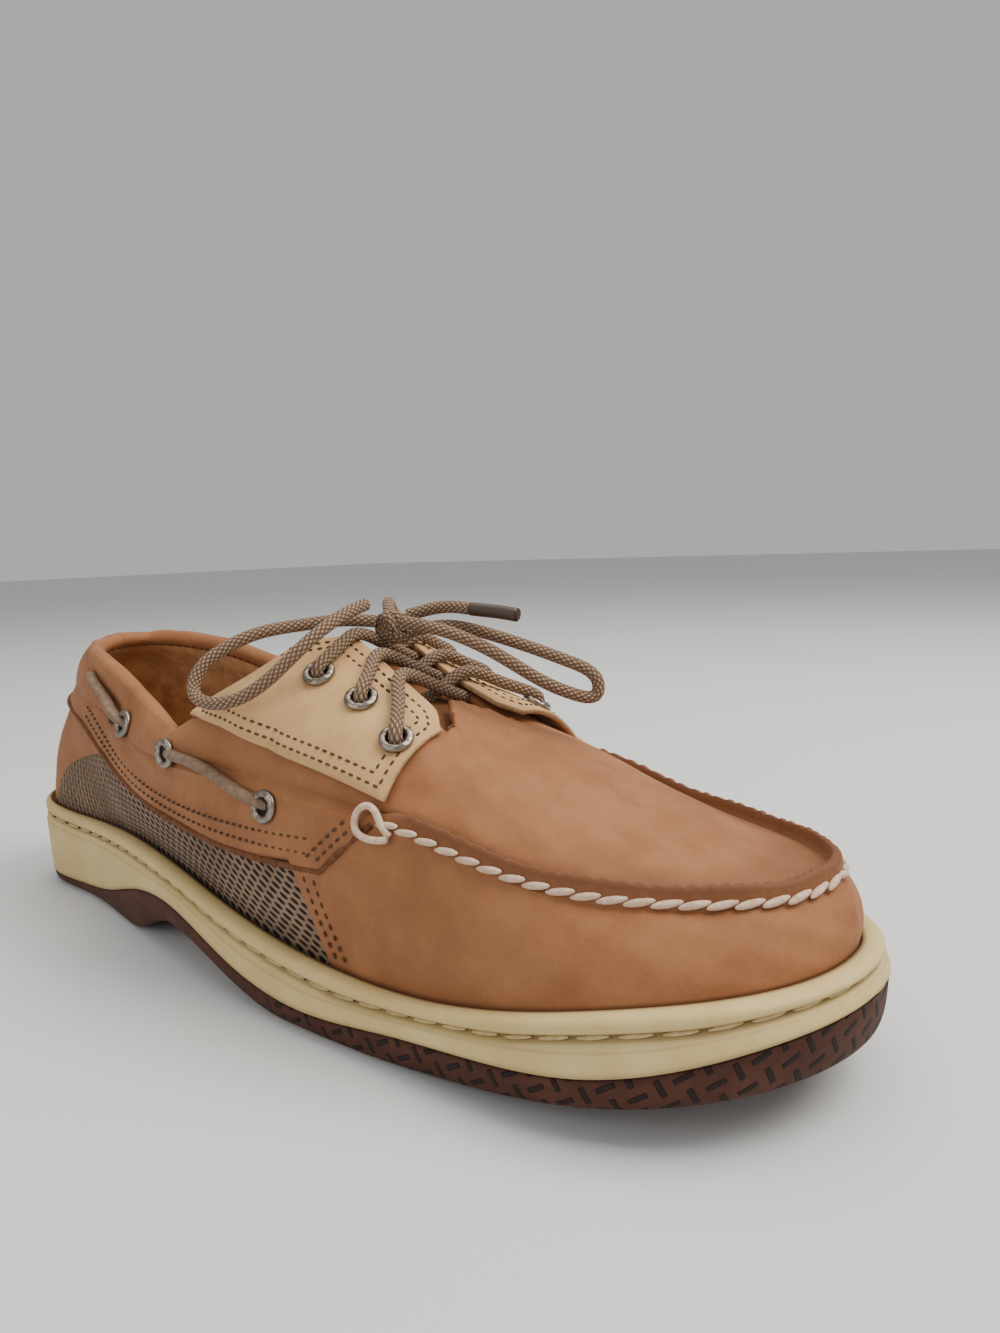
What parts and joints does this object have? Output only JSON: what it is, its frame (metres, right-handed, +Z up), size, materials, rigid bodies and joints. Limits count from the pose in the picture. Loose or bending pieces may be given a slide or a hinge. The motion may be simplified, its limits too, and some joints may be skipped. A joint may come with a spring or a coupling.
{
  "type": "boat shoe",
  "caption": "Low moccasin-style boat shoe with raised hand-sewn toe seam, eyelet saddles, side lacing and a pale cupped sole on a rubber outsole.",
  "frame": {"origin": "on the floor under the heel, on the outsole's flat heel face and the middle of its width", "axes": "+X from heel to toe, +Y to the inner (medial) side, +Z up"},
  "size_m": [0.297, 0.1061, 0.1023],
  "materials": {
    "outsole_rubber": "matt brown rubber with sipes",
    "midsole_foam": "matt cream, lightly scuffed",
    "insole_leather": "brushed",
    "upper_leather": "oiled, nubuck-like",
    "tongue_leather": "oiled",
    "saddle_leather": "smooth, raw edge",
    "eyelet_metal": "aged nickel",
    "lace_braid": "round braid with pale flecks",
    "lace_tip": "dark, plain"
  },
  "bodies": {
    "root": {"outsole": "outsole_rubber", "midsole": "midsole_foam", "insole": "insole_leather", "upper": "upper_leather", "tongue": "tongue_leather", "saddle_lateral": "saddle_leather", "saddle_medial": "saddle_leather", "eyelet_top_lateral": "eyelet_metal", "eyelet_middle_lateral": "eyelet_metal", "eyelet_front_lateral": "eyelet_metal", "eyelet_side_front_lateral": "eyelet_metal", "eyelet_side_middle_lateral": "eyelet_metal", "eyelet_side_back_lateral": "eyelet_metal", "eyelet_top_medial": "eyelet_metal", "eyelet_middle_medial": "eyelet_metal", "eyelet_front_medial": "eyelet_metal", "eyelet_side_front_medial": "eyelet_metal", "eyelet_side_middle_medial": "eyelet_metal", "eyelet_side_back_medial": "eyelet_metal", "lace_side_lateral": "lace_braid", "lace_side_medial": "lace_braid", "lace_heel_lateral": "lace_braid", "lace_heel_medial": "lace_braid", "lace_crossing_front": "lace_braid", "lace_crossing_middle": "lace_braid", "lace_crossing_top": "lace_braid", "lace_knot": "lace_braid", "lace_loop_lateral": "lace_braid", "lace_loop_medial": "lace_braid", "lace_end_front": "lace_braid", "lace_end_back": "lace_braid", "lace_tip_front": "lace_tip", "lace_tip_back": "lace_tip"}
  },
  "joints": []
}
